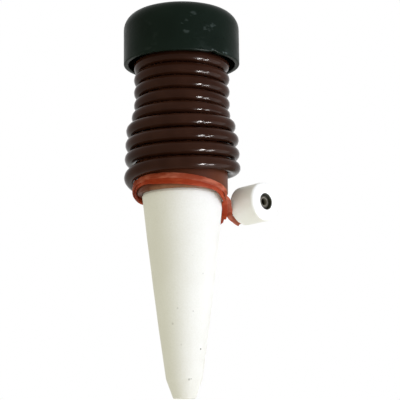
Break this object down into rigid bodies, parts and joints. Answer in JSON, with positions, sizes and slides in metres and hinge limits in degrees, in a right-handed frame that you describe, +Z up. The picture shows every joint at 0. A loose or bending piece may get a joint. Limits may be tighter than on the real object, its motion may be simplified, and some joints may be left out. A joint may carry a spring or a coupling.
{
  "type": "self watering spike",
  "caption": "Hollow porous ceramic spike under a plastic neck with a screw cap, a suction hose wound round the neck and a ceramic weight on the hose end, held by a rubber band.",
  "frame": {"origin": "centre of the flat tip of the ceramic spike", "axes": "+Z up along the spike's axis from the tip to the cap, +X towards the side where the weight is kept, -Y towards the viewer of the picture"},
  "size_m": [0.0609, 0.0477, 0.1526],
  "materials": {
    "porous_ceramic": "matte unglazed, fine grain with a few dark specks",
    "neck_plastic": "smooth brown moulding, slightly see-through",
    "seal_rubber": "matte black",
    "cap_plastic": "satin dark green, lightly scuffed",
    "hose_plastic": "glossy dark brown soft hose",
    "weight_ceramic": "smooth white",
    "band_rubber": "orange red, matte"
  },
  "bodies": {
    "spike_body": {"ceramic_spike": "porous_ceramic", "neck": "neck_plastic", "joint_seal": "seal_rubber", "hose_winding": "hose_plastic", "hose_tail": "hose_plastic", "hose_weight": "weight_ceramic", "rubber_band": "band_rubber"},
    "seal_body": {"cap_seal": "seal_rubber"},
    "cap_body": {"screw_cap": "cap_plastic"}
  },
  "joints": [
    {"name": "cap_lift", "type": "slide", "parent": "spike_body", "child": "seal_body", "axis": [0, 0, 1], "range_m": [0, 0.011]},
    {"name": "cap_turn", "type": "hinge", "parent": "seal_body", "child": "cap_body", "pos_m": [0, 0, 0.14], "axis": [0, 0, 1], "range_deg": [0, 990]}
  ],
  "couplings": [
    {"joint": "cap_turn", "follows": "cap_lift", "rad_per_m": 1570.8}
  ]
}
